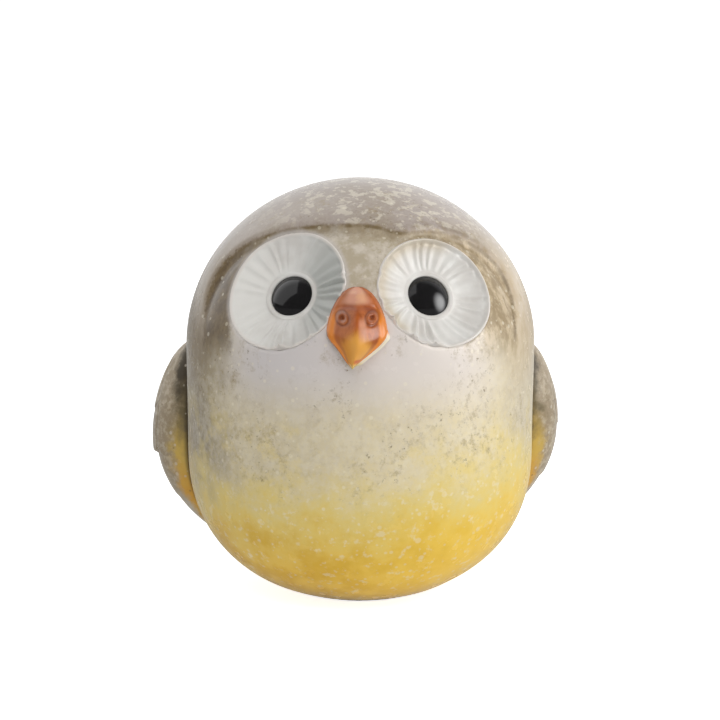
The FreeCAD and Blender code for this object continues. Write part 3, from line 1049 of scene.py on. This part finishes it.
def beak_ground(look):
    """Amber, rust down the ridge, ochre and gold low down, and orange on the flange."""
    colour = look.mix(look.step(look.flow, 0.35, 0.65), AMBER_DARK, AMBER)
    # painted shade on the owl's right half of the beak, turned from the lamps
    colour = look.lay(colour, AMBER_SHADE, look.step(look.across, 0.05, -0.25), 0.30)
    ridge = look.where(aside=(0.16, 0.02), down=(0.24, 0.34))
    colour = look.lay(colour, RIDGE_RUST, ridge, 0.6)
    low = look.minus(look.down, look.both(look.aside, 0.30))
    low = look.plus(low, look.both(look.minus(look.flow, 0.5), 0.15))
    colour = look.lay(colour, OCHRE, look.step(low, 0.42, 0.62), 0.85)
    gold = look.both(look.step(look.across, -0.45, -0.05), look.step(low, 0.46, 0.60))
    colour = look.lay(colour, GOLD, gold, 0.55)
    flange = look.where(aside=(0.60, 0.72), down=(0.22, 0.40))
    colour = look.lay(colour, FLANGE_ORANGE, flange, 0.9)
    crease = look.window(look.aside, (0.46, 0.58), (0.72, 0.62))
    return look.lay(colour, CREASE_RUST, look.both(crease, look.step(look.down, 0.3, 0.5)), 0.45)


def add_cere(look, colour):
    """Salmon above a rust groove, and brown round the nostrils."""
    groove = look.where(down=(CERE_SHARE + 0.08, CERE_SHARE + 0.02), aside=(0.75, 0.45))
    cere = look.where(down=(CERE_SHARE + 0.01, CERE_SHARE - 0.07), aside=(0.75, 0.30))
    colour = look.lay(colour, GROOVE_RUST, groove, 0.5)
    colour = look.lay(colour, CERE_SALMON, cere, 0.9)
    colour = look.lay(colour, CERE_BLUSH, look.both(cere, look.patches(4 * MM, 0.48, 0.62)), 0.5)
    return look.lay(colour, NOSTRIL_BROWN, look.attribute("nostril"), 0.65)


def add_beak_edges(look, colour):
    """Bare cream skirt on the owl's left, painted shadow along the skirt on its right, and a yellow tip with
    a red spot.
    """
    left_edge = look.where(across=(0.0, 0.4), down=(0.54, 0.62))
    colour = look.mix(look.both(look.step(look.aside, 0.885, 0.91), left_edge), colour, SKIRT_CREAM)
    # painted shadow under the beak's edge on the owl's right
    right_edge = look.where(across=(0.0, -0.4), down=(0.5, 0.6))
    colour = look.lay(colour, SKIRT_SHADE, look.both(look.step(look.aside, 0.80, 0.92), right_edge), 0.7)
    colour = look.lay(colour, TIP_YELLOW, look.step(look.down, 0.92, 0.98), 0.7)
    spot = look.window(look.down, (0.86, 0.89), (0.94, 0.91))
    return look.lay(colour, TIP_RED, look.both(look.strip(0.35, 0.45, 0.15), spot), 0.7)


def amber_glaze():
    """Glossy amber with a painted highlight: a pale band beside the ridge."""
    look = BeakLook("amber_glaze")
    colour = add_beak_edges(look, add_cere(look, beak_ground(look)))
    # painted highlight: a pale band beside the ridge
    painted_highlight_band = look.window(look.down, (0.32, 0.42), (0.68, 0.54))
    colour = look.lay(colour, PAINTED_HIGHLIGHT, look.both(look.strip(0.17, 0.17, 0.04), painted_highlight_band), 0.5)
    look.bumps(look.flow, 0.05 * MM)
    look.shader.inputs["Specular IOR Level"].default_value = 0.3
    return look.finish(colour, look.plus(look.both(look.flow, 0.1), 0.10))


# ---- stage

WHITE = (1, 1, 1, 1)
ROOM_DIM, ROOM_BRIGHT = 0.12, 1.1        # the room in front of the owl, and behind it
FLOOR_HALF = 6.0
CAMERA_LENS = 100
CAMERA_SENSOR = 36
CAMERA_SHIFT = 0.0328
CAMERA_ELEVATION = math.radians(10)
CAMERA_DISTANCE = 0.584


def seen_from(azimuth, elevation, distance):
    """Place at a distance from the owl's middle."""
    return Vector((0, 0, TOP_Z / 2)) + Vector(facing(azimuth, elevation)[2]) * distance


def fade_edges(light):
    """Makes the lamp's face brightest in the middle."""
    light.use_nodes = True
    nodes = Nodes(light.node_tree)
    from_middle = nodes.distance(nodes.source("NewGeometry", "Parametric"), (0.5, 0.5, 0))
    nodes.feed(nodes.tree.nodes["Emission"].inputs["Strength"], nodes.step(from_middle, 0.5, 0.1))


def soft_light(name, azimuth, elevation, distance, width, height, radiance, lights=True, shows=True):
    """Softbox aimed at the owl from a direction in degrees. It may only light, or only show in the glaze."""
    light = bpy.data.lights.new(name, "AREA")
    light.shape = "RECTANGLE"
    light.size = width
    light.size_y = height
    light.energy = math.pi * width * height * radiance
    lamp = add_object(name, light)
    lamp.rotation_euler = (math.radians(90 - elevation), 0, math.radians(azimuth))
    lamp.location = seen_from(math.radians(azimuth), math.radians(elevation), distance)
    lamp.visible_diffuse = lights
    lamp.visible_glossy = shows
    return light


def lamps():
    """Two lamps that only light the owl, and two that only show as reflections."""
    soft_light("right_light", azimuth=85, elevation=15, distance=0.8, width=0.7, height=0.6,
               radiance=2.4, shows=False)
    soft_light("front_light", azimuth=5, elevation=55, distance=1.2, width=1.0, height=1.0,
               radiance=2.75, shows=False)
    right_box = soft_light("right_box", azimuth=71, elevation=17, distance=0.25, width=0.25, height=0.27,
                           radiance=8.0, lights=False)
    fade_edges(right_box)
    soft_light("left_box", azimuth=-98, elevation=46, distance=0.75, width=1.4, height=1.15,
               radiance=0.85, lights=False)


def room():
    """White to the camera; to everything else dim in front of the owl and bright behind it."""
    world = bpy.data.worlds.new("studio")
    bpy.context.scene.world = world
    world.use_nodes = True
    nodes = Nodes(world.node_tree)
    depth = nodes.axis("Y", nodes.source("TexCoord", "Generated"))
    dimmed = nodes.ramp(depth, 0.05, 0.6, ROOM_DIM, ROOM_BRIGHT)
    seen = nodes.source("LightPath", "Is Camera Ray")
    background = nodes.tree.nodes["Background"]
    background.inputs["Color"].default_value = WHITE
    nodes.feed(background.inputs["Strength"], nodes.maths("MAXIMUM", seen, dimmed))


def paper():
    """Pale matt floor: near white to the camera, dark in the glaze's reflections."""
    material = bpy.data.materials.new("pale_floor")
    material.use_nodes = True
    nodes = Nodes(material.node_tree)
    shader = nodes.tree.nodes["Principled BSDF"]
    shader.inputs["Roughness"].default_value = 1.0
    shader.inputs["Specular IOR Level"].default_value = 0.0
    shader.inputs["Emission Color"].default_value = WHITE
    for ray, low, high, socket in (("Is Camera Ray", 0.2, 0.85, "Emission Strength"),
                                   ("Is Glossy Ray", 0.85, 0.1, "Base Color")):
        level = nodes.ramp(nodes.source("LightPath", ray), 0.0, 1.0, low, high)
        nodes.feed(shader.inputs[socket], level)
    return material


def floor():
    mesh = bpy.data.meshes.new("floor")
    corners = [(x * FLOOR_HALF, y * FLOOR_HALF, 0) for x, y in ((-1, -1), (1, -1), (1, 1), (-1, 1))]
    mesh.from_pydata(corners, [], [(0, 1, 2, 3)])
    mesh.materials.append(paper())
    add_object("floor", mesh)


def camera():
    """Camera in front of the owl, a little above it."""
    data = bpy.data.cameras.new("camera")
    data.lens = CAMERA_LENS
    data.sensor_width = CAMERA_SENSOR
    data.shift_y = CAMERA_SHIFT
    eye = add_object("camera", data)
    eye.location = seen_from(0, CAMERA_ELEVATION, CAMERA_DISTANCE)
    eye.rotation_euler = (math.pi / 2 - CAMERA_ELEVATION, 0, 0)
    bpy.context.scene.camera = eye


def build():
    """The ten pieces, one for each CAD node."""
    body_mesh(body_glaze())
    bisque = white_bisque()
    black = black_glaze()
    for hand in SIDES:
        disc_mesh(hand, bisque)
        eye_mesh(hand, black)
    beak_mesh(amber_glaze())
    feathers = wing_glaze()
    for hand in SIDES:
        lobe_mesh("feathered_wing_" + hand, WING_AZIMUTHS[hand], WING_TOP_Z, WING_TIP_Z, WING_HALF_WIDTH,
                  WING_REACH, WING_TIERS[hand], feathers, "wing_" + hand)
    lobe_mesh("feathered_tail", TAIL_AZIMUTHS, TAIL_TOP_Z, TAIL_TIP_Z, TAIL_HALF_WIDTH, TAIL_REACH,
              TAIL_TIERS, feathers, "tail")
    felt_mesh(felt())


build()
lamps()
room()
floor()
camera()
bpy.context.scene.view_settings.view_transform = "Standard"
